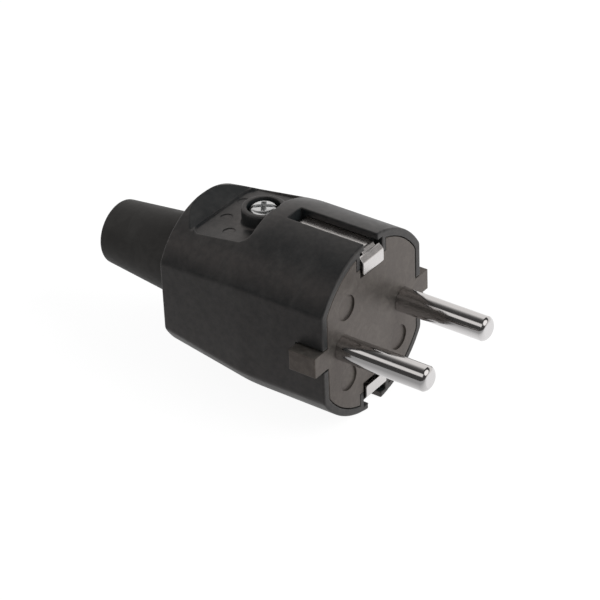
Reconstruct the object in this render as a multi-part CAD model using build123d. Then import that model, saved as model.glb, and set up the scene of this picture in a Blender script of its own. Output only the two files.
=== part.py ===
"""Rewirable earthed two-pin mains plug with a soft rubber housing.

A hard contact insert, made of a front carrier and a rear frame, holds two round pins, a U-shaped earth
strap and three pillar terminals. It slides into a one-piece rubber housing that ends in a cable sleeve,
and one screw through the top of the housing holds it there.

Millimetres. X runs along the plug with +X towards the pins, X = 0 on the contact face. The pins lie at
+Y and -Y, the two earth contacts at +Z and -Z. No cable is fitted: its inlet, clamp and terminals are.
"""
from math import atan2, cos, hypot, radians, sin, tan
import os

from build123d import *

# Contact face: two pins on standard centres
pin_spacing = 19.0
pin_radius = 2.4
pin_reach = 19.0
pin_tip_round = 0.9
pin_root_depth = 1.0        # how far the neck under the shank runs back into the carrier
pin_root_radius = 2.1
pin_root_front = 0.05       # the full shank starts this far in front of the face
pin_stem_radius = 2.7
pin_collar_radius = 3.5
pin_collar_length = 3.8
pin_neck_radius = 2.2
pin_head_radius = 2.9

# Rubber housing: a round body with two side flats, then a taper to the rear
body_radius = 18.0
body_flat = 15.5            # half width across the side flats
body_corner = 1.8           # soft edge between the round and a flat
collar_length = 19.0        # length of the untapered front part
taper_blend = 3.6           # the collar turns into the taper over this length
body_length = 38.0
rear_radius = 15.6
rear_flat = 13.9
rear_corner = 1.6
front_edge_round = 0.35
rear_edge_round = 0.35
rim_wall = 1.45             # rubber round the carrier
shell_wall = 2.4            # rubber round the wiring space
rear_wall = 2.5

# Cable sleeve, moulded in one with the housing
sleeve_length = 21.5
sleeve_root_radius = 8.6
sleeve_end_radius = 6.4
sleeve_edge_round = 0.8
sleeve_root_round = 0.5
cable_bore_radius = 4.8

# Screw pocket on top of the taper, with a ramp up to the rear edge
pocket_front = 20.7         # distance of its front wall behind the contact face
pocket_half_width = 9.3
pocket_depth = 3.3          # below the crown of the taper
pocket_corner = 2.2
pocket_rim_round = 0.25
ramp_length = 3.9
ramp_step = 0.4
ramp_landing = 0.6          # level length in front of the ramp
ramp_drop = 0.15            # the ramp ends this far under the crown of the rear edge
boss_behind_face = 23.9
boss_radius = 4.2
boss_drop = 1.0             # its top lies this far under the crown
boss_edge_round = 0.4
boss_hole_radius = 3.2
boss_foot_round = 0.5
mould_marks = ((-31.4, -1.8), (-27.4, -6.2), (-32.3, 4.5))  # round marks in the pocket's floor
mould_mark_radius = 1.2
mould_mark_depth = 0.12

# Earth slots through the housing, top and bottom
slot_width = 4.12
slot_length = 16.9
slot_edge_round = 0.2
tongue_half_width = 4.5     # rubber beside the earth contact's head
tongue_inner = 13.35
tongue_depth = 2.5

# Carrier: the hard front half of the insert
seam_gap = 0.15
carrier_depth = 15.8
carrier_edge_round = 0.2
rib_reach = 18.0
rib_half_height = 2.08
rib_length = 5.8
rib_edge_round = 0.25
rib_gap = 0.3
recess_spacing_y = 16.0
recess_spacing_z = 15.2
recess_radius = 2.5
recess_depth = 0.35
core_out_radius = 3.0
core_out_depth = 10.0

# Earth strap: one bent strip, its two front ends turned in over the face
strap_thickness = 0.8
strap_width = 3.9
strap_rise = 0.05           # over the carrier's round
strap_bend = 0.9
tab_width = 6.3
tab_proud = 0.55            # in front of the face
tab_shoulder = 15.35
tab_bevel_end = 14.4
tab_end = 12.05
tab_corner = 0.7
tab_recess_inner = 11.35
tab_recess_gap = 0.35
tab_recess_depth = 1.9
strap_bevel_start = 1.2     # behind the face

# Terminals
terminal_gap = 0.4          # behind the frame plate
terminal_share = 0.4        # of the wiring space's length
earth_block_width = 6.0
rivet_radius = 1.5
rivet_head_radius = 2.2
rivet_head_height = 0.5
wire_hole_radius = 1.6
wire_hole_floor = 1.0
guard_thickness = 0.3
guard_width = 2.4
guard_lift = 0.4            # height of the guard leaf above the wire hole's axis
guard_tab_height = 1.9

# Rear frame: the hard rear half of the insert
frame_plate = 2.0
frame_gap = 0.15
cheek_inner = 3.6
cheek_outer = 5.9
cheek_bottom = 7.0
bridge_drop = 11.6          # its underside below the crown
bridge_length = 6.4
bridge_gap = 0.15
cradle_share = 0.34         # of the wiring space's length
cradle_half_width = 10.2
cradle_bottom = 8.0
cradle_top = 0.8            # below the cable's axis
cradle_end_gap = 1.5        # to the housing's rear wall

# Cord clamp
cord_radius = 4.6
clamp_inset = 0.6           # the bar is this much shorter than the cradle at each end
clamp_ear_bottom = 1.2
clamp_ear_top = 3.6
clamp_crown_top = 6.6
clamp_crown_half_width = 5.2
clamp_screw_spacing = 16.0
clamp_ridge = 0.5

# Fasteners
m3_radius = 1.5
m3_head_radius = 2.8
m3_head_height = 2.4
m3_cheese_radius = 2.5
m3_cheese_height = 1.8
m25_radius = 1.25
m25_head_radius = 2.4
m25_head_height = 1.6
frame_screw_y = 8.2
frame_screw_z = 8.0
frame_screw_length = 8.8
clamp_screw_length = 10.0
housing_screw_length = 8.0
seat_drop = 3.3             # the housing screw's seat below the crown
terminal_screw_seat = 3.3
terminal_screw_length = 2.6
nut_across_flats = 5.5
nut_height = 2.4
nut_drop = 8.2              # its top below the crown
screw_slot_width = 0.8
screw_slot_depth = 0.8
cross_recess_length = 3.4
cross_recess_depth = 1.3
hole_clearance = 0.2
fit_gap = 0.05

# Sizes that follow from the ones above
carrier_radius = body_radius - rim_wall - seam_gap
carrier_flat = body_flat - rim_wall - seam_gap
strap_outer = carrier_radius + strap_rise
pin_y = pin_spacing / 2
frame_front = -carrier_depth
frame_back = frame_front - frame_plate
wiring_length = body_length - rear_wall - carrier_depth - frame_plate
terminal_length = terminal_share * wiring_length
terminal_front = frame_back - terminal_gap
terminal_back = terminal_front - terminal_length
terminal_screw_x = (terminal_front + terminal_back) / 2
wire_hole_depth = terminal_length - wire_hole_floor
cradle_back = -body_length + rear_wall + cradle_end_gap
cradle_length = cradle_share * wiring_length
cradle_front = cradle_back + cradle_length
clamp_length = cradle_length - 2 * clamp_inset
pocket_length = body_length - pocket_front - ramp_length
boss_top = body_radius - boss_drop
housing_screw_seat = body_radius - seat_drop
bridge_bottom = body_radius - bridge_drop
nut_top = body_radius - nut_drop
taper_slope = (body_radius - rear_radius) / (body_length - collar_length)
flat_slope = (body_flat - rear_flat) / (body_length - collar_length)


def taper_run(x):
    """Length of taper up to x, growing softly over the blend and evenly behind it."""
    past = -x - collar_length + taper_blend / 2
    if past < taper_blend:
        return max(0.0, past) ** 2 / (2 * taper_blend)
    return past - taper_blend / 2


def crown_at(x):
    """Radius of the body's round at x."""
    return body_radius - taper_slope * taper_run(x)


def flat_at(x):
    """Half width across the side flats at x."""
    return body_flat - flat_slope * taper_run(x)


def pocket_floor_at(x):
    """Height of the pocket's floor, parallel to the taper."""
    return body_radius - taper_slope * (-x - collar_length) - pocket_depth


def flatted_round(radius, flat, corner):
    """A circle cut by two side flats, with soft corners."""
    outline = Circle(radius) & Rectangle(2 * flat, 4 * radius)
    return fillet(outline.vertices(), corner)


def along_x(sketch, x_low, x_high):
    """Extrudes a sketch drawn in Y and Z from x_low to x_high."""
    return extrude(Plane.YZ.offset(x_low) * sketch, amount=x_high - x_low)


def box_between(x, y, z):
    """A box given by its (low, high) pairs."""
    size = [high - low for low, high in (x, y, z)]
    centre = [(high + low) / 2 for low, high in (x, y, z)]
    return Pos(*centre) * Box(*size)


def rod_x(radius, x_low, x_high, y=0.0, z=0.0):
    """A round rod along X."""
    return Pos(0, y, z) * along_x(Circle(radius), x_low, x_high)


def rod_z(radius, z_low, z_high, x=0.0, y=0.0):
    """A round rod along Z."""
    return Pos(x, y, z_low) * extrude(Circle(radius), amount=z_high - z_low)


def body_form(inset, corner_front, corner_rear, x_front, x_rear):
    """The body's outer form moved inwards by inset, from x_front to x_rear."""
    blend_front = -collar_length + taper_blend / 2
    stations = [x_rear] + [blend_front - taper_blend * step / 4 for step in (4, 3, 2, 1, 0)]
    sections = []
    for x in stations:
        share = (blend_front - x) / (blend_front - x_rear)
        corner = corner_front + share * (corner_rear - corner_front)
        sections.append(Plane.YZ.offset(x) * flatted_round(crown_at(x) - inset, flat_at(x) - inset, corner))
    front = flatted_round(body_radius - inset, body_flat - inset, corner_front)
    return along_x(front, blend_front, x_front) + loft(sections, ruled=True)


def pocket_plane(x, drop):
    """The plane of the pocket's floor with its origin at x, lowered by drop."""
    angle = atan2(taper_slope, 1)
    return Plane(
        origin=(x, 0, pocket_floor_at(x) - drop),
        x_dir=(cos(angle), 0, sin(angle)),
        z_dir=(-sin(angle), 0, cos(angle)),
    )


def pocket_form(wall):
    """The screw pocket's space, grown by a wall on its sides and below its floor."""
    outline = RectangleRounded(
        pocket_length + 2 * wall, 2 * (pocket_half_width + wall), pocket_corner + wall
    )
    floor = pocket_plane(-pocket_front - pocket_length / 2, wall)
    return extrude(floor * outline, amount=3 * pocket_depth + wall)


def mould_mark(x, y):
    """A shallow round mark in the pocket's floor."""
    floor = pocket_plane(x, mould_mark_depth)
    return extrude(floor * Pos(0, y) * Circle(mould_mark_radius), amount=2 * mould_mark_depth)


def lies_on_round(edge):
    """Whether an edge runs along the body's round behind the collar, and not straight across X."""
    points = [edge @ place for place in (0.1, 0.5, 0.9)]
    return edge.bounding_box().size.X > 0.1 and all(
        p.X < -collar_length and abs(hypot(p.Y, p.Z) - crown_at(p.X)) < 0.06 for p in points
    )


def within_pocket(edge):
    """Whether an edge lies over the pocket's width, on top of the body."""
    box = edge.bounding_box()
    return box.min.Z > 0 and max(-box.min.Y, box.max.Y) < pocket_half_width + 0.1


def ramp_form():
    """The space over the ramp that rises from the pocket's floor to the rear edge."""
    foot = -pocket_front - pocket_length
    foot_z = pocket_floor_at(foot) + ramp_step
    end_z = rear_radius - ramp_drop
    slope = (end_z - foot_z) / (foot + body_length)
    past = -body_length - 1
    above = 2 * body_radius
    front = foot + ramp_landing
    profile = Polyline(
        (front, foot_z), (foot, foot_z), (past, end_z + slope), (past, above), (front, above), close=True
    )
    return extrude(Plane.XZ * make_face(profile), amount=body_radius, both=True)


def sleeve_form():
    """The cable sleeve's tapered outside."""
    root = Plane.YZ.offset(-body_length + front_edge_round)
    end = Plane.YZ.offset(-body_length - sleeve_length)
    cone = loft([end * Circle(sleeve_end_radius), root * Circle(sleeve_root_radius)])
    return fillet(cone.edges().group_by(Axis.X)[0], sleeve_edge_round)


def tab_recess():
    """The space round the earth contacts' front heads, open to the face."""
    half = tab_width / 2 + tab_recess_gap
    top = box_between(
        (-tab_recess_depth, tab_proud), (-half, half), (tab_recess_inner, strap_outer + seam_gap)
    )
    return top + mirror(top, Plane.XY)


def make_housing():
    """The rubber housing with its sleeve, earth slots, pocket and screw boss."""
    outside = body_form(0, body_corner, rear_corner, 0, -body_length)
    outside = fillet(outside.faces().sort_by(Axis.X)[-1].edges(), front_edge_round)
    outside = fillet(outside.faces().sort_by(Axis.X)[0].edges(), rear_edge_round)
    slot = box_between(
        (-slot_length, 1), (-slot_width / 2, slot_width / 2), (tongue_inner - 1, body_radius + 1)
    )
    slots = slot + mirror(slot, Plane.XY)
    outside -= slots
    rims = outside.edges().filter_by(Axis.X).filter_by(
        lambda e: e.length > slot_length / 2
        and abs(e.center().Y) < slot_width
        and abs(hypot(e.center().Y, e.center().Z) - body_radius) < 0.01
    )
    outside = fillet(rims, slot_edge_round)
    shell = outside + sleeve_form()
    root = shell.edges().filter_by(GeomType.CIRCLE).filter_by(
        lambda e: abs(e.center().X + body_length) < 0.01 and abs(e.radius - sleeve_root_radius) < 0.2
    )
    shell = fillet(root, sleeve_root_round)

    shell -= pocket_form(0)
    rim = shell.edges().filter_by(lies_on_round).filter_by(within_pocket)
    shell = fillet(rim, pocket_rim_round) - ramp_form()
    boss_x = -boss_behind_face
    boss = rod_z(boss_radius, pocket_floor_at(boss_x) - shell_wall / 2, boss_top, boss_x)
    shell += fillet(boss.edges().sort_by(Axis.Z)[-1], boss_edge_round)
    foot = shell.edges().filter_by(GeomType.ELLIPSE).filter_by(
        lambda e: e.length > 2 * boss_radius and within_pocket(e) and e.center().Z < boss_top - 1
    )
    shell = fillet(foot, boss_foot_round)
    for x, y in mould_marks:
        shell -= mould_mark(x, y)

    space = body_form(shell_wall, 1.0, 1.0, -carrier_depth + seam_gap, -body_length + rear_wall)
    shell -= space - pocket_form(shell_wall)
    seat = flatted_round(carrier_radius + seam_gap, carrier_flat + seam_gap, body_corner)
    shell -= along_x(seat, -carrier_depth, 1)
    shell -= rod_x(cable_bore_radius, -body_length - sleeve_length - 1, -body_length + rear_wall + 1)
    shell -= rod_z(boss_hole_radius, housing_screw_seat, 2 * body_radius, boss_x)
    shell -= rod_z(m3_radius + hole_clearance, 0, housing_screw_seat, boss_x)

    # rubber tongues that fill the carrier's notches beside the earth contacts
    tongue = box_between(
        (-tongue_depth, 0),
        (-tongue_half_width, tongue_half_width),
        (tongue_inner, body_radius - rim_wall + seam_gap),
    )
    shell += tongue + mirror(tongue, Plane.XY)
    shell -= slots + tab_recess()
    notch = box_between(
        (-rib_length - rib_gap / 2, 1),
        (-body_flat - 1, body_flat + 1),
        (-rib_half_height - rib_gap, rib_half_height + rib_gap),
    )
    return shell - notch


def make_contact_carrier():
    """The hard front half of the insert: face, side ribs, pin bores and strap grooves."""
    disc = along_x(flatted_round(carrier_radius, carrier_flat, body_corner), -carrier_depth, 0)
    disc = fillet(disc.faces().sort_by(Axis.X)[-1].edges(), carrier_edge_round)
    ribs = box_between((-rib_length, 0), (-rib_reach, rib_reach), (-rib_half_height, rib_half_height))
    rib_ends = ribs.edges().group_by(Axis.Y)
    carrier = disc + fillet(rib_ends[0] + rib_ends[-1], rib_edge_round)

    groove_floor = strap_outer - strap_thickness
    for side in (1, -1):
        groove = box_between(
            (-carrier_depth - 1, 1),
            (-slot_width / 2, slot_width / 2),
            sorted((side * groove_floor, side * 2 * body_radius)),
        )
        notch = box_between(
            (-tongue_depth - seam_gap, 1),
            (-tongue_half_width - seam_gap, tongue_half_width + seam_gap),
            sorted((side * (tongue_inner - seam_gap), side * 2 * body_radius)),
        )
        bend_relief = box_between(
            (-carrier_depth - 1, -carrier_depth + strap_bend),
            (-slot_width / 2, slot_width / 2),
            sorted((side * (groove_floor - strap_bend), side * groove_floor)),
        )
        carrier -= groove + notch + bend_relief
        carrier -= rod_x(pin_root_radius + fit_gap, -pin_root_depth, 1, side * pin_y)
        carrier -= rod_x(pin_stem_radius + fit_gap, -carrier_depth, -pin_root_depth, side * pin_y)
        carrier -= rod_x(
            pin_collar_radius + fit_gap,
            -carrier_depth - 1,
            -carrier_depth + pin_collar_length,
            side * pin_y,
        )
        carrier -= rod_x(
            m25_radius,
            frame_front - 1,
            frame_back + frame_screw_length + fit_gap,
            side * frame_screw_y,
            side * frame_screw_z,
        )
        carrier -= rod_x(
            core_out_radius,
            -carrier_depth - 1,
            -carrier_depth + core_out_depth,
            side * frame_screw_y,
            -side * frame_screw_z,
        )
    carrier -= tab_recess()
    carrier -= rod_x(
        rivet_head_radius + hole_clearance,
        -carrier_depth - 1,
        -carrier_depth + rivet_head_height + hole_clearance,
    )
    for y, z in ((-1, 1), (1, -1), (-1, -1)):
        carrier -= rod_x(recess_radius, -recess_depth, 1, y * recess_spacing_y / 2, z * recess_spacing_z / 2)
    return carrier


def make_pin(y):
    """A turned contact pin with its collar, neck and pillar head, on the line y."""
    nose = rod_x(pin_radius, pin_root_front, pin_reach, y)
    pin = fillet(nose.edges().sort_by(Axis.X)[-1], pin_tip_round)
    pin += rod_x(pin_root_radius, -pin_root_depth, pin_root_front, y)
    pin += rod_x(pin_stem_radius, -carrier_depth, -pin_root_depth, y)
    pin += rod_x(pin_collar_radius, -carrier_depth, -carrier_depth + pin_collar_length, y)
    pin += rod_x(pin_neck_radius, terminal_front, -carrier_depth, y)
    pin += rod_x(pin_head_radius, terminal_back, terminal_front, y)
    pin -= rod_x(wire_hole_radius, terminal_back - 1, terminal_back + wire_hole_depth, y)
    return pin - rod_z(m3_radius, 0, 2 * pin_head_radius, terminal_screw_x, y)


def make_earth_strap():
    """The bent earth strip: bridge, two legs in their slots and a wide head on each leg."""
    half = strap_thickness / 2
    leg = strap_outer - half
    bridge = frame_front - half
    front = tab_proud - half
    quarter = [
        (front, tab_end),
        (front, tab_bevel_end - half * tan(radians(22.5))),
        (-strap_bevel_start, leg),
        (bridge, leg),
    ]
    mirrored = [(x, -z) for x, z in reversed(quarter)]
    centre_line = FilletPolyline(*(quarter + mirrored), radius=strap_bend)
    strip = Plane.XZ * trace(centre_line, line_width=strap_thickness)
    strap = extrude(strip, amount=strap_width / 2, both=True)
    wide = extrude(strip, amount=tab_width, both=True)
    outline = Pos(0, (tab_shoulder + tab_end) / 2) * RectangleRounded(
        tab_width, tab_shoulder - tab_end, tab_corner
    )
    head = wide & along_x(outline, -tab_recess_depth, tab_proud)
    strap += head + mirror(head, Plane.XY)
    return strap - rod_x(rivet_radius, frame_front - 1, frame_front + 1)


def make_earth_terminal():
    """The square pillar block, riveted through the strap's bridge."""
    front = frame_front - strap_thickness
    half = earth_block_width / 2
    block = box_between((terminal_back, front), (-half, half), (-half, half))
    block += rod_x(rivet_radius, front, frame_front)
    block += rod_x(rivet_head_radius, frame_front, frame_front + rivet_head_height)
    block -= rod_x(wire_hole_radius, terminal_back - 1, terminal_back + wire_hole_depth)
    return block - rod_z(m3_radius, -earth_block_width, 0, terminal_screw_x)


def make_wire_guard(y, side):
    """The thin leaf that keeps a terminal screw off the strands, on the screw's side of the axis."""
    low = guard_lift
    high = guard_lift + guard_thickness
    x_back = terminal_back - guard_thickness
    half = guard_width / 2
    leaf = box_between((x_back, terminal_back + wire_hole_depth - fit_gap), (-half, half), (low, high))
    leaf += box_between((x_back, terminal_back), (-half, half), (low, guard_tab_height))
    if side < 0:
        leaf = mirror(leaf, Plane.XY)
    return Pos(0, y, 0) * leaf


def slotted_screw(shank, length, head, height):
    """A cheese-head screw standing on its seat at Z = 0, shank downwards."""
    screw = rod_z(head, 0, height) + rod_z(shank, -length, 0)
    slot = box_between(
        (-head - 1, head + 1),
        (-screw_slot_width / 2, screw_slot_width / 2),
        (height - screw_slot_depth, height + 1),
    )
    return screw - slot


def combination_screw(shank, length, head, height):
    """A pan-head screw with a cross recess and a slot, standing on its seat at Z = 0."""
    cap = rod_z(head, 0, height)
    cap = fillet(cap.edges().sort_by(Axis.Z)[-1], height * 0.45)
    screw = cap + rod_z(shank, -length, 0)
    half = screw_slot_width / 2
    arm = cross_recess_length / 2
    deep = (height - cross_recess_depth, height + 1)
    screw -= box_between((-arm, arm), (-half, half), deep)
    screw -= box_between((-half, half), (-arm, arm), deep)
    return screw - box_between((-head - 1, head + 1), (-half, half), (height - screw_slot_depth / 2, height + 1))


def make_terminal_screw(y, side):
    """A terminal screw at the line y, entering from above (side 1) or below (side -1)."""
    screw = slotted_screw(m3_radius, terminal_screw_length, m3_cheese_radius, m3_cheese_height)
    screw = Pos(terminal_screw_x, y, terminal_screw_seat) * screw
    return screw if side > 0 else mirror(screw, Plane.XY)


def make_frame_screw(side):
    """A thread-forming screw through the frame plate into the carrier."""
    screw = slotted_screw(m25_radius, frame_screw_length, m25_head_radius, m25_head_height)
    return Pos(frame_back, side * frame_screw_y, side * frame_screw_z) * Rot(0, -90, 0) * screw


def make_rear_frame():
    """The hard rear half of the insert: plate, two cheeks, nut bridge and cord cradle."""
    inset = shell_wall + frame_gap
    plate = along_x(
        flatted_round(body_radius - inset, body_flat - inset, 1.0), frame_back, frame_front
    )
    half_strap = slot_width / 2
    plate -= box_between(
        (frame_front - strap_thickness - fit_gap, frame_front + 1),
        (-half_strap, half_strap),
        (-body_radius, body_radius),
    )
    window = earth_block_width / 2 + hole_clearance
    plate -= box_between((frame_back - 1, frame_front + 1), (-window, window), (-window, window))

    nut_x = -boss_behind_face
    bridge_back = nut_x - bridge_length / 2
    bridge_top = pocket_floor_at(bridge_back) - shell_wall / cos(atan2(taper_slope, 1)) - bridge_gap
    frame = plate
    for side in (1, -1):
        cheek_y = sorted((side * cheek_inner, side * cheek_outer))
        frame += box_between((cradle_front, frame_back), cheek_y, (-cheek_bottom, bridge_bottom))
        frame -= rod_x(pin_head_radius + hole_clearance, frame_back - 1, frame_front + 1, side * pin_y)
        frame -= rod_x(
            m25_radius + hole_clearance,
            frame_back - 1,
            frame_front + 1,
            side * frame_screw_y,
            side * frame_screw_z,
        )
    frame += box_between(
        (bridge_back, nut_x + bridge_length / 2), (-cheek_outer, cheek_outer), (bridge_bottom, bridge_top)
    )
    cradle = box_between(
        (cradle_back, cradle_front),
        (-cradle_half_width, cradle_half_width),
        (-cradle_bottom, -cradle_top),
    )
    cradle = fillet(cradle.edges().filter_by(Axis.X).group_by(Axis.Z)[0], 2.0)
    frame += cradle - rod_x(cord_radius, cradle_back - 1, cradle_front + 1)

    # slot that holds the nut from the rear, and the screw's way down to it
    nut_half = nut_across_flats / 2 + fit_gap
    frame -= box_between(
        (bridge_back - 1, nut_x + nut_half),
        (-nut_half / cos(radians(30)), nut_half / cos(radians(30))),
        (nut_top - nut_height - fit_gap, nut_top + fit_gap),
    )
    frame -= rod_z(m3_radius + hole_clearance, bridge_bottom - 1, bridge_top + 1, nut_x)
    for y in (-clamp_screw_spacing / 2, clamp_screw_spacing / 2):
        frame -= rod_z(
            m3_radius,
            clamp_ear_top - clamp_screw_length - fit_gap,
            0,
            (cradle_front + cradle_back) / 2,
            y,
        )
    return frame


def make_cord_clamp():
    """The clamp bar: a crowned bridge with two ears and grip ridges under its arch."""
    middle = (cradle_front + cradle_back) / 2
    x = (middle - clamp_length / 2, middle + clamp_length / 2)
    bar = box_between(x, (-cradle_half_width, cradle_half_width), (clamp_ear_bottom, clamp_ear_top))
    bar = fillet(bar.edges().filter_by(Axis.Z), 1.5)
    crown = box_between(
        x, (-clamp_crown_half_width, clamp_crown_half_width), (clamp_ear_bottom, clamp_crown_top)
    )
    bar += fillet(crown.edges().filter_by(Axis.X).group_by(Axis.Z)[-1], 2.0)
    bar -= rod_x(cord_radius, x[0] - 1, x[1] + 1)
    for offset in (-clamp_length / 4, clamp_length / 4):
        ring = rod_x(cord_radius + 0.3, middle + offset - 0.4, middle + offset + 0.4)
        ring -= rod_x(cord_radius - clamp_ridge, x[0], x[1])
        upper = box_between(x, (-3, 3), (clamp_ear_bottom + 1, clamp_crown_top))
        bar += ring & upper
    for y in (-clamp_screw_spacing / 2, clamp_screw_spacing / 2):
        bar -= rod_z(m3_radius + hole_clearance, 0, clamp_crown_top, middle, y)
    return bar


def make_clamp_screw(side):
    """A cord clamp screw from the bar's ear into the cradle."""
    screw = slotted_screw(m3_radius, clamp_screw_length, m3_cheese_radius, m3_cheese_height)
    middle = (cradle_front + cradle_back) / 2
    return Pos(middle, side * clamp_screw_spacing / 2, clamp_ear_top) * screw


def make_housing_screw():
    """The screw in the top boss that holds the insert in the housing."""
    screw = combination_screw(m3_radius, housing_screw_length, m3_head_radius, m3_head_height)
    return Pos(-boss_behind_face, 0, housing_screw_seat) * Rot(0, 0, 35) * screw


def make_housing_nut():
    """The hexagon nut held in the rear frame's bridge."""
    hexagon = RegularPolygon(nut_across_flats / 2, 6, major_radius=False) - Circle(m3_radius)
    return Pos(-boss_behind_face, 0, nut_top - nut_height) * extrude(Rot(0, 0, 30) * hexagon, amount=nut_height)


parts = {
    "housing": make_housing(),
    "contact_carrier": make_contact_carrier(),
    "live_pin": make_pin(-pin_y),
    "neutral_pin": make_pin(pin_y),
    "earth_strap": make_earth_strap(),
    "earth_terminal": make_earth_terminal(),
    "rear_frame": make_rear_frame(),
    "live_wire_guard": make_wire_guard(-pin_y, 1),
    "neutral_wire_guard": make_wire_guard(pin_y, 1),
    "earth_wire_guard": make_wire_guard(0, -1),
    "live_terminal_screw": make_terminal_screw(-pin_y, 1),
    "neutral_terminal_screw": make_terminal_screw(pin_y, 1),
    "earth_terminal_screw": make_terminal_screw(0, -1),
    "upper_frame_screw": make_frame_screw(1),
    "lower_frame_screw": make_frame_screw(-1),
    "cord_clamp": make_cord_clamp(),
    "left_clamp_screw": make_clamp_screw(-1),
    "right_clamp_screw": make_clamp_screw(1),
    "housing_screw": make_housing_screw(),
    "housing_nut": make_housing_nut(),
}

os.makedirs("parts", exist_ok=True)
for name, part in parts.items():
    export_step(part, f"parts/{name}.step")
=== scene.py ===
"""Dresses the packed earthed mains plug for its studio picture.

Lengths in the classes are millimetres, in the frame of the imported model: X runs along the plug with the pins at
+X, and X = 0 is the contact face. Meshes are made in metres, in place.
"""
from __future__ import annotations

import logging
from dataclasses import dataclass, field
from enum import Enum

import bmesh
import bpy
import numpy as np
from mathutils import Matrix


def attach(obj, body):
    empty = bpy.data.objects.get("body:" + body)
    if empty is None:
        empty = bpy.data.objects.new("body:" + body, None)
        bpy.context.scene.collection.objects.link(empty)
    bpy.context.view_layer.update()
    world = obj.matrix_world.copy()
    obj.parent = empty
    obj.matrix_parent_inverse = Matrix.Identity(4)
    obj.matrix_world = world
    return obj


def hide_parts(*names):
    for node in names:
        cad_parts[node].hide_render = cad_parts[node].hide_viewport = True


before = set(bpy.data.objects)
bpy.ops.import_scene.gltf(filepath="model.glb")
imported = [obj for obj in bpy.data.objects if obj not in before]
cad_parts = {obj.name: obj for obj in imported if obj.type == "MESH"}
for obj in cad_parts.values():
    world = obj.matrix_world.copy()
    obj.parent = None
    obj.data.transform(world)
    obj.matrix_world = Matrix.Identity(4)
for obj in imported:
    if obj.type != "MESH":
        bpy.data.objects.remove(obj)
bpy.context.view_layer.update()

MM = 0.001
BODY = "root"
WHITE = (1.0, 1.0, 1.0, 1.0)
POLE_MERGE = 1e-7       # metres under which a made surface's points are one
LEAST_EDGE = 1e-8       # metres under which an edge is dropped
CAD_MERGE = 2e-6        # metres under which a CAD mesh's loose points are one
HOLE_STEPS = 48         # points round a cut hole
PIN_OFFSET = 9.5        # mm from the plug's axis to each pin's
NOISE_MOST = (0.3, 0.7)         # nearly all values of a noise lie between these
NOISE_MIDDLE = (0.35, 0.65)     # most of them lie between these
FULL_GLOSS = 0.5        # the gloss level at which the index of refraction alone decides
log = logging.getLogger("plug")


# ---------------------------------------------------------------- small helpers
def linear(colour: str) -> tuple[float, float, float, float]:
    """Turns an sRGB hex value into the linear colour that shaders take.

    Args:
        colour: Six hex digits, such as "302f2f".

    Returns:
        Linear red, green and blue, and an alpha of 1.
    """
    value = np.array([int(colour[i:i + 2], 16) for i in (0, 2, 4)]) / 255.0
    rgb = np.where(value <= 0.04045, value / 12.92, ((value + 0.055) / 1.055) ** 2.4)
    return (float(rgb[0]), float(rgb[1]), float(rgb[2]), 1.0)


def add_node(tree: bpy.types.NodeTree, kind: str, values: dict | None = None, links: dict | None = None,
             **settings: object) -> bpy.types.Node:
    """Adds one node with its settings, socket values and links.

    Args:
        tree: The node tree that gets the node.
        kind: The node's type name.
        values: Socket name or number to the value it holds.
        links: Socket name or number to the output that feeds it.
        settings: The node's own properties.

    Returns:
        The new node.
    """
    node = tree.nodes.new(kind)
    for name, setting in settings.items():
        setattr(node, name, setting)
    for socket, value in (values or {}).items():
        node.inputs[socket].default_value = value
    for socket, source in (links or {}).items():
        tree.links.new(source, node.inputs[socket])
    return node


def remap(tree: bpy.types.NodeTree, value: bpy.types.NodeSocket, source: tuple[float, float],
          target: tuple[float, float] = (0.0, 1.0), smooth: bool = False) -> bpy.types.NodeSocket:
    """Maps one range of values onto another and holds the ends.

    Args:
        tree: The node tree.
        value: The output that is mapped.
        source: The values that become the ends of the target.
        target: The two ends.
        smooth: Whether the ends are approached gently.

    Returns:
        The mapped output.
    """
    ends = {"From Min": source[0], "From Max": source[1], "To Min": target[0], "To Max": target[1]}
    kind = "SMOOTHSTEP" if smooth else "LINEAR"
    return add_node(tree, "ShaderNodeMapRange", ends, {"Value": value}, interpolation_type=kind).outputs["Result"]


def combine(tree: bpy.types.NodeTree, operation: str, first: bpy.types.NodeSocket,
            second: bpy.types.NodeSocket) -> bpy.types.NodeSocket:
    """Joins two values by one operation.

    Args:
        tree: The node tree.
        operation: MULTIPLY, MAXIMUM or another of the math node's names.
        first: One output.
        second: The other.

    Returns:
        The result.
    """
    return add_node(tree, "ShaderNodeMath", links={0: first, 1: second}, operation=operation).outputs[0]


def noise(tree: bpy.types.NodeTree, place: bpy.types.NodeSocket, size: float, detail: float,
          roughness: float = 0.5, distortion: float = 0.0) -> bpy.types.NodeSocket:
    """Makes a noise of a real size.

    Args:
        tree: The node tree.
        place: The coordinates, in metres.
        size: Millimetres across one of its coarsest marks.
        detail: Number of finer layers.
        roughness: How strong the finer layers are.
        distortion: How far the marks are pulled about.

    Returns:
        The noise.
    """
    values = {"Scale": 1 / (size * MM), "Detail": detail, "Roughness": roughness, "Distortion": distortion}
    return add_node(tree, "ShaderNodeTexNoise", values, {"Vector": place}).outputs["Fac"]


def new_material(name: str) -> tuple[bpy.types.Material, bpy.types.NodeTree]:
    """Makes a material with an empty node tree.

    Args:
        name: Its name.

    Returns:
        The material, and its tree.
    """
    material = bpy.data.materials.new(name)
    material.use_nodes = True
    material.node_tree.nodes.clear()
    return material, material.node_tree


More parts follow.
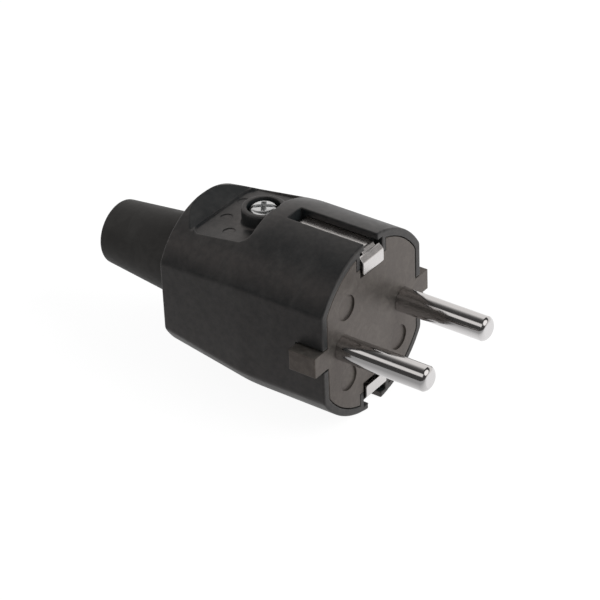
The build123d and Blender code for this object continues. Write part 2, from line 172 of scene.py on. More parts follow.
def smooth_step(edge: float, soft: float, value: np.ndarray) -> np.ndarray:
    """Rises from 0 to 1 as value goes from edge - soft to edge + soft, as 3t^2 - 2t^3.

    Args:
        edge: Middle of the rise.
        soft: Half its width.
        value: The values to map.

    Returns:
        The mapped values.
    """
    t = np.clip((value - edge + soft) / (2 * soft), 0.0, 1.0)
    return t * t * (3 - 2 * t)


def finish_normals(piece: bpy.types.Object, angle: float) -> None:
    """Shades a piece smooth, keeps edges sharper than an angle, and lets its large faces stay flat.

    Args:
        piece: The mesh object.
        angle: The largest angle, in degrees, that is shaded as a curve.
    """
    piece.data.polygons.foreach_set("use_smooth", np.ones(len(piece.data.polygons), bool))
    piece.data.set_sharp_from_angle(angle=np.radians(angle))
    weighted = piece.modifiers.new("flat faces", "WEIGHTED_NORMAL")
    weighted.keep_sharp = True


def link_piece(name: str, mesh: bpy.types.Mesh, nodes: tuple[str, ...],
               angle: float) -> bpy.types.Object:
    """Puts a finished mesh into the scene as a piece that stands for CAD nodes.

    Args:
        name: The piece's name.
        mesh: Its mesh, in metres and in place.
        nodes: The CAD nodes that it replaces.
        angle: The largest angle, in degrees, that is shaded as a curve.

    Returns:
        The new object.
    """
    piece = bpy.data.objects.new(name, mesh)
    bpy.context.scene.collection.objects.link(piece)
    finish_normals(piece, angle)
    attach(piece, BODY)
    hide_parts(*nodes)
    return piece


def closed_surface(name: str, points: np.ndarray) -> bpy.types.Mesh:
    """Makes a closed mesh from a grid of points whose second direction goes round.

    Row i, column j is the point at the i-th station and the j-th place round it. Each quad joins four
    neighbours, the last column joins the first, and a row that is one point closes an end.

    Args:
        name: The mesh's name.
        points: An array of rows x columns x 3, in millimetres.

    Returns:
        The mesh, in metres, with merged poles and outward faces.
    """
    rows, columns = points.shape[:2]
    i, j = np.meshgrid(np.arange(rows - 1), np.arange(columns), indexing="ij")
    k = (j + 1) % columns
    quads = np.stack([i * columns + j, (i + 1) * columns + j, (i + 1) * columns + k, i * columns + k], axis=-1)
    mesh = bpy.data.meshes.new(name)
    mesh.from_pydata((points.reshape(-1, 3) * MM).tolist(), [], quads.reshape(-1, 4).tolist())
    build = bmesh.new()
    build.from_mesh(mesh)
    bmesh.ops.remove_doubles(build, verts=build.verts, dist=POLE_MERGE)
    bmesh.ops.dissolve_degenerate(build, edges=build.edges, dist=LEAST_EDGE)
    bmesh.ops.recalc_face_normals(build, faces=build.faces)
    build.to_mesh(mesh)
    build.free()
    return mesh


def revolved(profile: np.ndarray, y: float, steps: int) -> np.ndarray:
    """Turns a profile of (x, radius) rows about the line Y = y, Z = 0 that runs along X.

    The point at angle a is (x, y + radius sin a, radius cos a).

    Args:
        profile: Rows of x and radius.
        y: Place of the axis.
        steps: Number of points round.

    Returns:
        The grid of points.
    """
    turn = np.arange(steps) * 2 * np.pi / steps
    x, radius = profile[:, :1], profile[:, 1:]
    return np.stack([x + 0 * turn, y + radius * np.sin(turn), radius * np.cos(turn)], axis=-1)


def merged_copy(node: str, name: str) -> bpy.types.Mesh:
    """Copies a CAD node's mesh and joins its loose triangles along their shared edges.

    Args:
        node: The CAD node.
        name: The new mesh's name.

    Returns:
        The joined mesh, in place.
    """
    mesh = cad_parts[node].data.copy()
    mesh.name = name
    stored = mesh.attributes.get("custom_normal")
    if stored is not None:
        mesh.attributes.remove(stored)
    build = bmesh.new()
    build.from_mesh(mesh)
    bmesh.ops.remove_doubles(build, verts=build.verts, dist=CAD_MERGE)
    build.to_mesh(mesh)
    build.free()
    return mesh


def cut_round_hole(mesh: bpy.types.Mesh, radius: float, start: np.ndarray, end: np.ndarray) -> bpy.types.Mesh:
    """Cuts a round hole out of a closed mesh.

    Args:
        mesh: The closed mesh.
        radius: The hole's radius.
        start: One end of its axis.
        end: The other end.

    Returns:
        A new mesh with the hole.
    """
    along = (end - start) / np.linalg.norm(end - start)
    side = np.cross(along, [1.0, 0.0, 0.0] if abs(along[0]) < 0.9 else [0.0, 1.0, 0.0])
    side /= np.linalg.norm(side)
    other = np.cross(along, side)
    turn = np.arange(HOLE_STEPS) * 2 * np.pi / HOLE_STEPS
    ring = radius * (np.cos(turn)[:, None] * side + np.sin(turn)[:, None] * other)
    still = np.zeros_like(ring)
    rod = closed_surface("hole", np.stack([start + still, start + ring, end + ring, end + still]))
    body = bpy.data.objects.new("body", mesh)
    tool = bpy.data.objects.new("tool", rod)
    for piece in (body, tool):
        bpy.context.scene.collection.objects.link(piece)
    cut = body.modifiers.new("hole", "BOOLEAN")
    cut.object, cut.operation, cut.solver = tool, "DIFFERENCE", "EXACT"
    bpy.context.view_layer.update()
    result = bpy.data.meshes.new_from_object(body.evaluated_get(bpy.context.evaluated_depsgraph_get()))
    result.name = mesh.name
    for piece in (body, tool):
        bpy.data.objects.remove(piece)
    return result


# ---------------------------------------------------------------- finishes
@dataclass(frozen=True)
class MouldedFinish:
    """A dark polymer as it leaves the mould: a fine eroded grain with cloudy flow marks in colour and gloss."""

    name: str
    colour: str             # sRGB of the material itself
    cloud_colour: str       # sRGB where the flow marks are palest
    cloud_size: float       # mm across one flow mark
    grain_size: float       # mm across one grain
    grain_height: float     # mm
    roughness_low: float
    roughness_high: float
    ior: float
    gloss_tint: str         # sRGB of the gloss at normal view
    edge_soft: float        # mm, how far the light rolls over an edge that is sharp in the mesh
    matt_and_painted_light_behind: float = -1000.0    # X, in mm, behind which the mould was eroded coarser and painted light is added to the colour
    matt_roughness: float = 0.0     # what the coarser grain adds there
    matt_specular: float = FULL_GLOSS   # its gloss level
    matt_painted_light: str = "000000"       # sRGB of painted light added to the colour there: a paler sheen standing in for the soft light that part catches
    matt_soft: float = 0.5          # mm, half the width over which it starts
    pale_from: tuple[float, float] = (0.42, 0.72)       # noise over which the flow marks turn pale
    mottle_parts: float = 4.0       # mottles across one flow mark
    mottle_gloss: tuple[float, float] = (0.86, 1.14)    # what the mottle does to the gloss level

    def material(self) -> bpy.types.Material:
        """Builds the material from Object coordinates, so that each pattern keeps its real size.

        Returns:
            The material.
        """
        result, tree = new_material(self.name)
        place = add_node(tree, "ShaderNodeTexCoord").outputs["Object"]
        cloud = noise(tree, place, self.cloud_size, detail=5.0, roughness=0.62, distortion=0.6)
        grain = noise(tree, place, self.grain_size, detail=2.0)
        mottle = noise(tree, place, self.cloud_size / self.mottle_parts, detail=3.0, roughness=0.6)
        along = add_node(tree, "ShaderNodeSeparateXYZ", links={0: place}).outputs["X"]
        matt = remap(tree, along, ((self.matt_and_painted_light_behind + self.matt_soft) * MM, (self.matt_and_painted_light_behind - self.matt_soft) * MM))
        colour = add_node(tree, "ShaderNodeMix", {6: linear(self.colour), 7: linear(self.cloud_colour)},
                          {0: remap(tree, cloud, self.pale_from, smooth=True)}, data_type="RGBA")
        # painted light: behind the matt edge a paler colour is added, a sheen standing in for the light there
        skin = add_node(tree, "ShaderNodeMix", {7: linear(self.matt_painted_light)}, {0: matt, 6: colour.outputs[2]},
                        data_type="RGBA", blend_type="ADD")
        rough = remap(tree, cloud, NOISE_MOST, (self.roughness_low, self.roughness_high))
        coarser = add_node(tree, "ShaderNodeMath", {1: self.matt_roughness}, {0: matt, 2: rough},
                           operation="MULTIPLY_ADD")
        level = add_node(tree, "ShaderNodeMix", {2: FULL_GLOSS, 3: self.matt_specular}, {0: matt})
        gloss = combine(tree, "MULTIPLY", level.outputs[0], remap(tree, mottle, NOISE_MIDDLE, self.mottle_gloss))
        soft_edge = add_node(tree, "ShaderNodeBevel", {"Radius": self.edge_soft * MM}, samples=6)
        bump = add_node(tree, "ShaderNodeBump", {"Strength": 1.0, "Distance": self.grain_height * MM},
                        {"Height": grain, "Normal": soft_edge.outputs["Normal"]})
        shader = add_node(tree, "ShaderNodeBsdfPrincipled", {"IOR": self.ior, "Specular Tint": linear(self.gloss_tint)},
                          {"Base Color": skin.outputs[2], "Roughness": coarser.outputs[0],
                           "Specular IOR Level": gloss, "Normal": bump.outputs["Normal"]})
        add_node(tree, "ShaderNodeOutputMaterial", links={"Surface": shader.outputs["BSDF"]})
        return result


class Marks(Enum):
    """Which way the fine lines left by making a metal part run."""

    TURNED = (1.0, 0.04, 0.04)     # rings about the X axis
    ROLLED = (0.03, 1.0, 0.03)     # lines along X
    TUMBLED = (0.6, 0.6, 0.6)      # no direction


@dataclass(frozen=True)
class MetalFinish:
    """A metal surface with fine lines in its height and its gloss."""

    name: str
    colour: str
    roughness_low: float
    roughness_high: float
    marks: Marks
    mark_size: float        # mm between lines
    mark_height: float      # mm
    smear_size: float = 2.5     # mm across one patch of the uneven polish

    def material(self) -> bpy.types.Material:
        """Builds the material: stretched noise gives the lines, their height and a slightly uneven polish.

        Returns:
            The material.
        """
        result, tree = new_material(self.name)
        place = add_node(tree, "ShaderNodeTexCoord").outputs["Object"]
        drawn = add_node(tree, "ShaderNodeMapping", {"Scale": self.marks.value}, {"Vector": place})
        lines = noise(tree, drawn.outputs["Vector"], self.mark_size, detail=3.0)
        smear = noise(tree, place, self.smear_size, detail=3.0)
        bump = add_node(tree, "ShaderNodeBump", {"Strength": 1.0, "Distance": self.mark_height * MM},
                        {"Height": lines})
        shader = add_node(tree, "ShaderNodeBsdfPrincipled", {"Base Color": linear(self.colour), "Metallic": 1.0},
                          {"Roughness": remap(tree, smear, NOISE_MOST, (self.roughness_low, self.roughness_high)),
                           "Normal": bump.outputs["Normal"]})
        add_node(tree, "ShaderNodeOutputMaterial", links={"Surface": shader.outputs["BSDF"]})
        return result


# Thermoplastic rubber, injection moulded: nearly black, a satin skin that greys where it mirrors the studio
# Behind X = -38.4, on the cord sleeve, it is matt, and a paler colour is added there as painted light
RUBBER = MouldedFinish("thermoplastic rubber, moulded", "1f2426", "2e3132", cloud_size=5.0, grain_size=0.3,
                       grain_height=0.008, roughness_low=0.38, roughness_high=0.50, ior=1.52, gloss_tint="ffece5",
                       edge_soft=0.4, matt_and_painted_light_behind=-38.4, matt_roughness=0.1, matt_specular=0.13, matt_painted_light="312d2a")
# Polyamide, injection moulded: harder, a little paler and browner than the rubber, with a fine matt grain
POLYAMIDE = MouldedFinish("polyamide, moulded", "413f3c", "56534f", cloud_size=2.6, grain_size=0.25,
                          grain_height=0.012, roughness_low=0.36, roughness_high=0.48, ior=1.6, gloss_tint="ffe4d8",
                          edge_soft=0.12)
# Nickel plate on turned brass: a white metal with faint tool rings
NICKEL = MetalFinish("nickel plate, turned", "cfcdcd", 0.09, 0.14, Marks.TURNED, 0.12, 0.0004)
# Nickel plate on rolled bronze strip: the same white metal with lines along the strip
NICKEL_STRIP = MetalFinish("nickel plate, rolled strip", "cfcccb", 0.2, 0.27, Marks.ROLLED, 0.25, 0.0002)
# Zinc plated steel, cold headed: a cooler grey, unevenly bright
ZINC = MetalFinish("zinc plated steel", "cfd0d1", 0.16, 0.3, Marks.TUMBLED, 0.4, 0.004)
# Stainless spring strip of the wire guards
SPRING = MetalFinish("spring steel, rolled", "b9bbbc", 0.25, 0.35, Marks.ROLLED, 0.1, 0.001)
# Free-cutting brass of the earth pillar
BRASS = MetalFinish("brass, sawn bar", "c9a765", 0.25, 0.38, Marks.TUMBLED, 0.2, 0.003)


# ---------------------------------------------------------------- the metal parts
@dataclass
class ContactPin:
    """A turned pin: bright shank, stem and collar in the carrier, neck and drilled pillar head behind it."""

    y: float
    node: str
    radius: float = 2.4
    reach: float = 19.0
    tip_round: float = 1.5
    tip_start: float = 22.0         # degrees that the tip's round leans in where it meets the shank
    tip_end: float = 72.0
    root: float = -1.0
    root_radius: float = 2.1
    shank_start: float = 0.05
    stem_radius: float = 2.7
    collar_radius: float = 3.5
    collar_front: float = -12.0
    seat: float = -15.8
    neck_radius: float = 2.2
    head_front: float = -18.2
    head_back: float = -25.28
    head_radius: float = 2.9
    wire_radius: float = 1.6
    wire_depth: float = 6.08
    screw_radius: float = 1.5
    drill_start: float = 5.0        # Z, outside the head
    curve: float = 17.0             # degrees up to which an angle is shaded as a curve
    steps: int = 96
    tip_steps: int = 13
    shank_steps: int = 11

    def profile(self) -> np.ndarray:
        """Gives the outline as rows of (x, radius), from the wire hole's end round to the tip.

        The tip is part of a circle of radius r, from an edge at the angle s to the flat end at the angle e:
        x = reach - r (sin e - sin a), radius = pin radius - r (cos s - cos a).

        Returns:
            The rows.
        """
        a = np.radians(np.linspace(self.tip_start, self.tip_end, self.tip_steps))
        tip = np.stack([self.reach - self.tip_round * (np.sin(a[-1]) - np.sin(a)),
                        self.radius - self.tip_round * (np.cos(a[0]) - np.cos(a))], axis=1)
        hole = self.head_back + self.wire_depth
        back = np.array([[hole, 0.0], [hole, self.wire_radius], [self.head_back, self.wire_radius],
                         [self.head_back, self.head_radius], [self.head_front, self.head_radius],
                         [self.head_front, self.neck_radius], [self.seat, self.neck_radius],
                         [self.seat, self.collar_radius], [self.collar_front, self.collar_radius],
                         [self.collar_front, self.stem_radius], [self.root, self.stem_radius],
                         [self.root, self.root_radius], [self.shank_start, self.root_radius]])
        shank = np.stack([np.linspace(self.shank_start, tip[0, 0], self.shank_steps, endpoint=False),
                          np.full(self.shank_steps, self.radius)], axis=1)
        return np.concatenate([back, shank, tip, [[self.reach, 0.0]]])

    def build(self, material: bpy.types.Material) -> bpy.types.Object:
        """Makes the pin and drills its terminal screw's hole.

        Args:
            material: The pin's material.

        Returns:
            The piece.
        """
        mesh = closed_surface(self.node + "_turned", revolved(self.profile(), self.y, self.steps))
        axis = np.array([(self.head_front + self.head_back) / 2, self.y, 0.0])
        mesh = cut_round_hole(mesh, self.screw_radius, axis, axis + [0.0, 0.0, self.drill_start])
        mesh.materials.clear()
        mesh.materials.append(material)
        return link_piece(self.node + "_turned", mesh, (self.node,), self.curve)


@dataclass
class EarthStrap:
    """The bent earth strip: bridge, two legs in the slots, and a wide head turned in over the face."""

    thickness: float = 0.6
    leg_width: float = 3.9
    outer: float = 16.28
    bridge_front: float = -15.8
    bend: float = 0.45
    head_width: float = 6.3
    head_front: float = 0.55
    shoulder: float = 15.35
    bevel_end: float = 14.4
    head_end: float = 12.05
    head_corner: float = 0.3
    bevel_start: float = 1.2
    edge_round: float = 0.12
    rivet_radius: float = 1.5
    punch: tuple[float, float] = (-2.0, 1.0)        # X of the punch's stroke, from the bridge's front
    curve: float = 28.0             # degrees up to which an angle is shaded as a curve
    bend_steps: int = 9
    edge_steps: int = 5
    corner_shares: tuple[float, ...] = (0.0, 0.06, 0.17, 0.34, 0.57, 0.79, 1.0)     # where its stations stand
    step: float = 1e-4              # mm along the strip in which it widens to a head
    digits: int = 6                 # of a station's place, in mm

    def centre_line(self) -> np.ndarray:
        """Gives the strip's centre line in X and Z as rows, with each corner turned into an arc.

        An arc at a corner starts and ends bend x tan(turn / 2) from it, and its point at the share t of the
        turn is the start, moved by bend sin(turn t) along the first run and bend (1 - cos(turn t)) across it. On the
        centre line the head's bevel starts thickness / 2 x tan(22.5 degrees) lower than on the outside.

        Returns:
            Rows of x, z, and the unit direction along the strip.
        """
        half = self.thickness / 2
        leg, bridge, front = self.outer - half, self.bridge_front - half, self.head_front - half
        quarter = np.array([[front, self.head_end], [front, self.bevel_end - half * np.tan(np.pi / 8)],
                            [-self.bevel_start, leg], [bridge, leg]])
        corners = np.concatenate([quarter, quarter[::-1] * [1, -1]])
        rows = [np.r_[corners[0], self._unit(corners[1] - corners[0])]]
        for before, corner, after in zip(corners[:-2], corners[1:-1], corners[2:]):
            into, out = self._unit(corner - before), self._unit(after - corner)
            turn = np.arccos(np.clip(into @ out, -1, 1))
            across = self._unit(out - (out @ into) * into)
            angle = np.linspace(0, turn, self.bend_steps)[:, None]
            start = corner - self.bend * np.tan(turn / 2) * into
            arc = start + self.bend * (np.sin(angle) * into + (1 - np.cos(angle)) * across)
            heading = np.cos(angle) * into + np.sin(angle) * across
            rows.extend(np.concatenate([arc, heading], axis=1))
        rows.append(np.r_[corners[-1], self._unit(corners[-1] - corners[-2])])
        return np.array(rows)

    @staticmethod
    def _unit(vector: np.ndarray) -> np.ndarray:
        """Scales a vector to length 1.

        Args:
            vector: Any vector but zero.

        Returns:
            The unit vector.
        """
        return vector / np.linalg.norm(vector)

    def stations(self) -> tuple[np.ndarray, np.ndarray]:
        """Refines the centre line over the heads and gives the strip's half width there.

        Over a head the half width is a rounded rectangle's: half the head's width, less corner - sqrt(corner^2 -
        (corner - d)^2) within one corner radius d of an end. Elsewhere it is half the leg's width.

        Returns:
            The stations, and their half widths.
        """
        line = self.centre_line()
        reach = np.r_[0, np.cumsum(np.linalg.norm(np.diff(line[:, :2], axis=0), axis=1))]
        height = np.abs(line[:, 1])
        head = int(np.argmax(height >= self.shoulder))
        share = (self.shoulder - height[head - 1]) / (height[head] - height[head - 1])
        neck = reach[head - 1] + share * (reach[head] - reach[head - 1])
        corner = np.array(self.corner_shares) * self.head_corner
        extra = np.concatenate([corner, neck - corner, [neck + self.step]])
        places = np.unique(np.concatenate([reach, extra, reach[-1] - extra]).round(self.digits))
        at = np.stack([np.interp(places, reach, line[:, column]) for column in range(4)], axis=1)
        at[:, 2:] /= np.linalg.norm(at[:, 2:], axis=1, keepdims=True)
        inside = np.minimum(places, reach[-1] - places)
        near = np.clip(np.minimum(inside, neck - inside), 0, self.head_corner)
        wide = self.head_width / 2 - self.head_corner + np.sqrt(self.head_corner ** 2 - (self.head_corner - near) ** 2)
        return at, np.where(inside <= neck + 10.0 ** -self.digits, wide, self.leg_width / 2)

    def points(self) -> np.ndarray:
        """Carries a rounded rectangle along the stations.

        Its corner arcs stand at (half width - r + r cos a, half thickness - r + r sin a), where r is edge_round.

        Returns:
            The grid of points, closed at both ends.
        """
        at, half = self.stations()
        r, thick = self.edge_round, self.thickness / 2
        angle = (np.arange(4)[:, None] * np.pi / 2 + np.linspace(0, np.pi / 2, self.edge_steps)).ravel()
        quadrant = np.repeat(np.arange(4), self.edge_steps)
        side, lift = np.array([1, -1, -1, 1])[quadrant], np.array([1, 1, -1, -1])[quadrant]
        across = side * (half[:, None] - r) + r * np.cos(angle)
        normal = lift * (thick - r) + r * np.sin(angle)
        x = at[:, :1] - normal * at[:, 3:]
        z = at[:, 1:2] + normal * at[:, 2:3]
        ring = np.stack([x, across, z], axis=-1)
        ends = [np.repeat(ring[k].mean(axis=0)[None, None], ring.shape[1], axis=1) for k in (0, -1)]
        return np.concatenate([ends[0], ring, ends[1]])

    def build(self, material: bpy.types.Material) -> bpy.types.Object:
        """Makes the strap and punches its rivet hole.

        Args:
            material: The strap's material.

        Returns:
            The piece.
        """
        mesh = closed_surface("earth_strap_bent", self.points())
        behind, front = (np.array([self.bridge_front + reach, 0.0, 0.0]) for reach in self.punch)
        mesh = cut_round_hole(mesh, self.rivet_radius, behind, front)
        mesh.materials.clear()
        mesh.materials.append(material)
        return link_piece("earth_strap_bent", mesh, ("earth_strap",), self.curve)


@dataclass
class CombinationScrew:
    """The housing screw: a pan head with a cross recess and a slot across it."""

    x: float = -23.9
    seat: float = 14.7
    head_radius: float = 2.8
    head_height: float = 2.4
    edge_round: float = 1.0
    crown: float = 0.3
    shank_radius: float = 1.5
    shank_length: float = 8.0
    cross_half_length: float = 1.65
    cross_half_width: float = 0.42
    cross_depth: float = 1.3
    slot_half_width: float = 0.36
    slot_depth: float = 0.45
    wall_soft: float = 0.09
    cross_taper: float = 0.45       # share of its depth that the cross loses by the ends of its arms
    chamfer: float = 0.3
    turned: float = 35.0            # degrees
    curve: float = 32.0             # degrees up to which an angle is shaded as a curve
    steps: int = 240
    rings: int = 70
    first_ring: float = 0.05

    def top(self, radius: np.ndarray, turn: np.ndarray) -> np.ndarray:
        """Gives the head's height over its seat.

        The dome is head height - crown (radius / head radius)^2, less edge round - sqrt(edge round^2 - d^2) past the
        start of the round. The cross is cut where |u| < half length and |v| < half width, or the two swapped, and
        gets shallower outwards. The slot is cut where |v| < its half width.

        Args:
            radius: Distance from the axis.
            turn: Angle about it.

        Returns:
            Heights in millimetres.
        """
        past = np.clip(radius - (self.head_radius - self.edge_round), 0, self.edge_round)
        dome = self.head_height - self.crown * (radius / self.head_radius) ** 2
        dome = dome - (self.edge_round - np.sqrt(self.edge_round ** 2 - past ** 2))
        u, v = np.abs(radius * np.cos(turn)), np.abs(radius * np.sin(turn))
        soft = self.wall_soft

        def arm(a: np.ndarray, b: np.ndarray) -> np.ndarray:
            """Gives one arm of the cross, 1 inside and 0 outside.

            Args:
                a: Distance along the arm.
                b: Distance across it.

            Returns:
                The share of the cut.
            """
            inside = 1 - smooth_step(self.cross_half_length, soft * 2, a)
            return inside * (1 - smooth_step(self.cross_half_width, soft, b))

        fall = 1 - self.cross_taper * radius / self.cross_half_length
        cross = np.maximum(arm(u, v), arm(v, u)) * self.cross_depth * fall
        slot = (1 - smooth_step(self.slot_half_width, soft, v)) * self.slot_depth
        return dome - np.maximum(np.clip(cross, 0, None), slot)

    def points(self) -> np.ndarray:
        """Gives the head's top over a polar grid, then its side, its seat and the shank.

        Returns:
            The grid of points, closed at both ends.
        """
        steps = self.steps
        turn = np.arange(steps) * 2 * np.pi / steps
        radius = np.r_[0, np.linspace(self.first_ring, self.head_radius, self.rings)][:, None]
        height = self.top(radius, turn + 0 * radius)
        height[0] = height[0].mean()
        tail = np.array([[self.head_radius, 0.0], [self.shank_radius, 0.0],
                         [self.shank_radius, self.chamfer - self.shank_length],
                         [self.shank_radius - self.chamfer, -self.shank_length], [0.0, -self.shank_length]])
        radius = np.concatenate([np.broadcast_to(radius, height.shape), np.repeat(tail[:, :1], steps, axis=1)])
        height = np.concatenate([height, np.repeat(tail[:, 1:], steps, axis=1)])
        angle = turn + np.radians(self.turned)
        return np.stack([self.x + radius * np.cos(angle), radius * np.sin(angle), self.seat + height], axis=-1)

    def build(self, material: bpy.types.Material) -> bpy.types.Object:
        """Makes the screw.

        Args:
            material: The screw's material.

        Returns:
            The piece.
        """
        mesh = closed_surface("housing_screw_headed", self.points())
        mesh.materials.append(material)
        return link_piece("housing_screw_headed", mesh, ("housing_screw",), self.curve)


# ---------------------------------------------------------------- the moulded parts
@dataclass
class Moulding:
    """A moulded part whose CAD form is right: the same form, joined up and shaded as one skin."""

    node: str
    slot: str
    curve: float = 24.0             # degrees up to which an angle is shaded as a curve

    def build(self, material: bpy.types.Material) -> bpy.types.Object:
        """Makes the moulding's skin.

        Args:
            material: The moulding's material.

        Returns:
            The piece.
        """
        mesh = merged_copy(self.node, self.node + "_skin")
        mesh.materials.clear()
        mesh.materials.append(material)
        return link_piece(self.node + "_skin", mesh, (self.node,), self.curve)


@dataclass
class Wiring:
    """The hidden metal and plastic parts, which keep their CAD forms and get their finishes."""

    finishes: dict[str, MouldedFinish | MetalFinish] = field(default_factory=lambda: {
        "rear_frame": POLYAMIDE, "cord_clamp": POLYAMIDE, "earth_terminal": BRASS,
        "live_wire_guard": SPRING, "neutral_wire_guard": SPRING, "earth_wire_guard": SPRING,
        "live_terminal_screw": ZINC, "neutral_terminal_screw": ZINC, "earth_terminal_screw": ZINC,
        "upper_frame_screw": ZINC, "lower_frame_screw": ZINC, "left_clamp_screw": ZINC,
        "right_clamp_screw": ZINC, "housing_nut": ZINC})

    def dress(self, materials: dict[str, bpy.types.Material]) -> None:
        """Gives each node its material.

        Args:
            materials: Finish name to material.
        """
        for node, finish in self.finishes.items():
            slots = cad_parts[node].data.materials
            slots.clear()
            slots.append(materials[finish.name])


# ---------------------------------------------------------------- the studio
@dataclass
class Studio:
    """White sweep behind and under the plug, dark overhead, a strip light in front, a soft lamp on the pins' side."""

    azimuth: float = 37.503
    elevation: float = 32.851
    roll: float = -2.43
    lens: float = 156.0
    sensor: float = 36.0
    clips: tuple[float, float] = (0.01, 20.0)           # metres
    position: tuple[float, float, float] = (229.74, -320.827, 260.262)

    fill: float = 0.4                   # the room's level for anything but gloss
    key: float = 0.52                   # what the lamp adds on a surface that faces it
    lamp_way: tuple[float, float, float] = (0.743, 0.221, 0.632)
    lamp_distance: float = 0.9          # metres, as its size
    lamp_size: float = 0.6
    lamp_rim: tuple[float, float] = (0.91, 0.93)    # cosine off the lamp's direction, outside and inside its edge
    lamp_level: float = 1.3             # its face's level in gloss

    dark: float = 0.06                  # gloss levels of the room's unlit and lit parts
    lit: float = 0.95
    warm_white: tuple[float, float, float, float] = (1.0, 0.98, 0.96, 1.0)
    sweep_start: tuple[float, float] = (-0.2, 0.35)     # y over which the sweep begins
    sweep_lean: tuple[float, float, float] = (0.45, 0.0, 1.0)
    sweep_top: tuple[float, float] = (0.51, 0.71)       # parts along its lean over which it ends
    strip_across: tuple[float, float, float] = (0.0, 0.787, 0.616)
    strip_side: tuple[float, float] = (0.15, 0.25)      # parts across the strip over which it ends
    strip_end: tuple[float, float] = (0.55, 0.7)        # x over which it ends

    floor_height: float = -18.0
    floor_half: float = 2000.0
    floor_paint: float = 0.8            # what the floor sends on to the plug
    floor_seen: float = 0.93            # the level at which the camera sees it, besides
    floor_shade: float = 0.16           # the part of it that a shadow takes away
    floor_fade: tuple[float, float] = (-50.0, 20.0)     # Y over which its mirror image brightens
    floor_mirror: tuple[float, float] = (0.31, 1.0)

    def camera(self) -> None:
        """Stands the camera where the photograph was taken from."""
        az, el, roll = np.radians([self.azimuth, self.elevation, self.roll])
        back = np.array([np.sin(az) * np.cos(el), -np.cos(az) * np.cos(el), np.sin(el)])
        right = np.array([np.cos(az), np.sin(az), 0.0])
        up = np.cross(back, right)
        turned_right = np.cos(roll) * right + np.sin(roll) * up
        turned_up = -np.sin(roll) * right + np.cos(roll) * up
        place = np.eye(4)
        place[:3, 0], place[:3, 1], place[:3, 2] = turned_right, turned_up, back
        place[:3, 3] = np.array(self.position) * MM
        data = bpy.data.cameras.new("camera")
        data.lens, data.sensor_width = self.lens, self.sensor
        data.clip_start, data.clip_end = self.clips
        camera = bpy.data.objects.new("camera", data)
        camera.matrix_world = Matrix(place.tolist())
        bpy.context.scene.collection.objects.link(camera)
        bpy.context.scene.camera = camera

    def world(self) -> None:
        """Lights the room: white to the eye, a plain fill, and for gloss a white sweep behind with dark above.

        With the direction's parts x, y and z, the sweep is white where y > 0 and z + 0.45 x < 0.61. In front a long
        strip light lies along X, 52 degrees up: it is where y < 0, x < 0.62 and |0.787 y + 0.616 z| < 0.2. The soft
        lamp's round face shows within 23 degrees of its direction. In gloss the room is a slightly warm white.
        """
        world = bpy.data.worlds.new("studio")
        bpy.context.scene.world = world
        world.use_nodes = True
        tree = world.node_tree
        tree.nodes.clear()
        path = add_node(tree, "ShaderNodeLightPath").outputs
        way = add_node(tree, "ShaderNodeTexCoord").outputs["Generated"]
        parts = add_node(tree, "ShaderNodeSeparateXYZ", links={0: way}).outputs

        def along(direction: tuple[float, float, float]) -> bpy.types.NodeSocket:
            """Gives the part of the way that lies along a direction.

            Args:
                direction: The direction.

            Returns:
                The dot product.
            """
            dot = add_node(tree, "ShaderNodeVectorMath", {1: direction}, {0: way}, operation="DOT_PRODUCT")
            return dot.outputs["Value"]

        behind = remap(tree, parts["Y"], self.sweep_start, smooth=True)
        below = remap(tree, along(self.sweep_lean), self.sweep_top, (1.0, 0.0), smooth=True)
        sweep = combine(tree, "MULTIPLY", behind, below)
        off_axis = add_node(tree, "ShaderNodeMath", links={0: along(self.strip_across)}, operation="ABSOLUTE")
        wide = remap(tree, off_axis.outputs[0], self.strip_side, (1.0, 0.0), smooth=True)
        long = remap(tree, parts["X"], self.strip_end, (1.0, 0.0), smooth=True)
        front = add_node(tree, "ShaderNodeMath", {1: 0.0}, {0: parts["Y"]}, operation="LESS_THAN").outputs[0]
        strip = combine(tree, "MULTIPLY", wide, combine(tree, "MULTIPLY", long, front))
        room = remap(tree, combine(tree, "MAXIMUM", sweep, strip), (0.0, 1.0), (self.dark, self.lit))
        lamp = remap(tree, along(self.lamp_way), self.lamp_rim, (0.0, self.lamp_level), smooth=True)
        plain = add_node(tree, "ShaderNodeMix", {2: self.fill},
                         {0: path["Is Glossy Ray"], 3: combine(tree, "MAXIMUM", room, lamp)})
        seen = combine(tree, "MAXIMUM", path["Is Camera Ray"], path["Is Transmission Ray"])
        strength = add_node(tree, "ShaderNodeMix", {3: 1.0}, {0: seen, 2: plain.outputs[0]})
        warm = add_node(tree, "ShaderNodeMix", {6: WHITE, 7: self.warm_white}, {0: path["Is Glossy Ray"]},
                        data_type="RGBA")
        air = add_node(tree, "ShaderNodeBackground", links={"Color": warm.outputs[2], "Strength": strength.outputs[0]})
        add_node(tree, "ShaderNodeOutputWorld", links={"Surface": air.outputs[0]})

    def lamp(self) -> None:
        """Hangs one wide soft lamp on the pins' side, above and a little behind the plug."""
        away = np.array(self.lamp_way)
        data = bpy.data.lights.new("soft lamp", "AREA")
        data.shape, data.size = "DISK", self.lamp_size
        data.energy = self.key * np.pi ** 2 * self.lamp_distance ** 2
        lamp = bpy.data.objects.new("soft lamp", data)
        side = np.cross([0.0, 0.0, 1.0], away)
        side /= np.linalg.norm(side)
        place = np.eye(4)
        place[:3, 0], place[:3, 1], place[:3, 2] = side, np.cross(away, side), away
        place[:3, 3] = away * self.lamp_distance
        lamp.matrix_world = Matrix(place.tolist())
        lamp.visible_glossy = False
        bpy.context.scene.collection.objects.link(lamp)

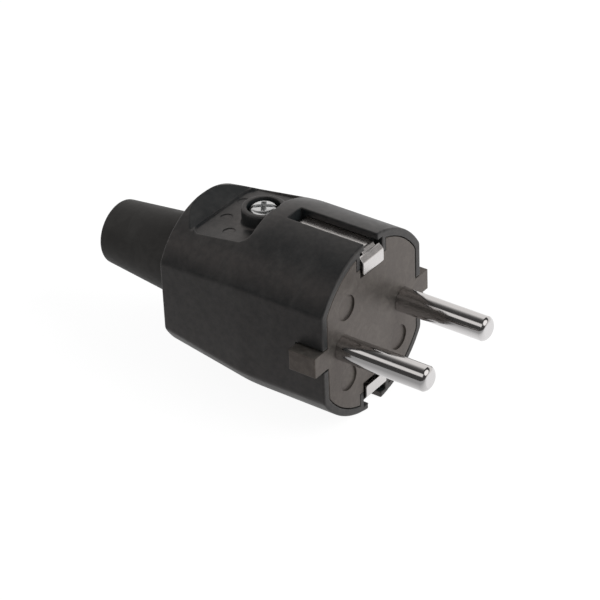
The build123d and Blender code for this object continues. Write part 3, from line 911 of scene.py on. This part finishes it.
    def floor(self) -> None:
        """Lays the white floor: it keeps the plug's soft shadow, and its mirror image greys towards the front.

        From below it is clear, so that the plug's underside can be looked at.
        """
        half = self.floor_half
        corners = np.array([[-half, -half], [half, -half], [half, half], [-half, half]])
        points = np.concatenate([corners, np.full((4, 1), self.floor_height)], axis=1) * MM
        mesh = bpy.data.meshes.new("floor")
        mesh.from_pydata(points.tolist(), [], [(0, 1, 2, 3)])
        floor = bpy.data.objects.new("floor", mesh)
        bpy.context.scene.collection.objects.link(floor)
        material, tree = new_material("white sweep, painted")
        path = add_node(tree, "ShaderNodeLightPath").outputs
        place = add_node(tree, "ShaderNodeTexCoord").outputs["Object"]
        across = add_node(tree, "ShaderNodeSeparateXYZ", links={0: place}).outputs["Y"]
        fade = (self.floor_fade[0] * MM, self.floor_fade[1] * MM)
        mirrored = remap(tree, across, fade, self.floor_mirror, smooth=True)
        glow = add_node(tree, "ShaderNodeMix", {3: self.floor_seen}, {0: path["Is Camera Ray"], 2: mirrored})
        light = add_node(tree, "ShaderNodeEmission", {"Color": WHITE}, {"Strength": glow.outputs[0]})
        shade, grey = self.floor_shade, self.floor_paint
        faint = add_node(tree, "ShaderNodeBsdfDiffuse", {"Color": (shade, shade, shade, 1.0)})
        shown = add_node(tree, "ShaderNodeAddShader", links={0: light.outputs[0], 1: faint.outputs[0]})
        paint = add_node(tree, "ShaderNodeBsdfDiffuse", {"Color": (grey, grey, grey, 1.0)})
        direct = combine(tree, "MAXIMUM", path["Is Camera Ray"], path["Is Glossy Ray"])
        direct = combine(tree, "MAXIMUM", direct, path["Is Transmission Ray"])
        above = add_node(tree, "ShaderNodeMixShader", links={0: direct, 1: paint.outputs[0], 2: shown.outputs[0]})
        under = add_node(tree, "ShaderNodeNewGeometry").outputs["Backfacing"]
        clear = add_node(tree, "ShaderNodeBsdfTransparent")
        sided = add_node(tree, "ShaderNodeMixShader", links={0: under, 1: above.outputs[0], 2: clear.outputs[0]})
        add_node(tree, "ShaderNodeOutputMaterial", links={"Surface": sided.outputs[0]})
        mesh.materials.append(material)

    def build(self) -> None:
        """Sets up the camera, the room, the lamp and the floor."""
        self.camera()
        self.world()
        self.lamp()
        self.floor()
        bpy.context.scene.view_settings.view_transform = "Standard"


def main() -> None:
    """Builds the plug's pieces in order and reports each one."""
    logging.basicConfig(level=logging.INFO, format="%(name)s: %(message)s")
    Studio().build()
    log.info("studio: camera, room, lamp and floor")
    finishes = (RUBBER, POLYAMIDE, NICKEL, NICKEL_STRIP, ZINC, SPRING, BRASS)
    materials = {finish.name: finish.material() for finish in finishes}
    pieces = [
        Moulding("housing", "rubber").build(materials[RUBBER.name]),
        Moulding("contact_carrier", "insert_plastic").build(materials[POLYAMIDE.name]),
        ContactPin(-PIN_OFFSET, "live_pin").build(materials[NICKEL.name]),
        ContactPin(PIN_OFFSET, "neutral_pin").build(materials[NICKEL.name]),
        EarthStrap().build(materials[NICKEL_STRIP.name]),
        CombinationScrew().build(materials[ZINC.name]),
    ]
    for piece in pieces:
        log.info("%s: %d faces", piece.name, len(piece.data.polygons))
    Wiring().dress(materials)
    log.info("wiring parts dressed")


if __name__ == "__main__":
    main()
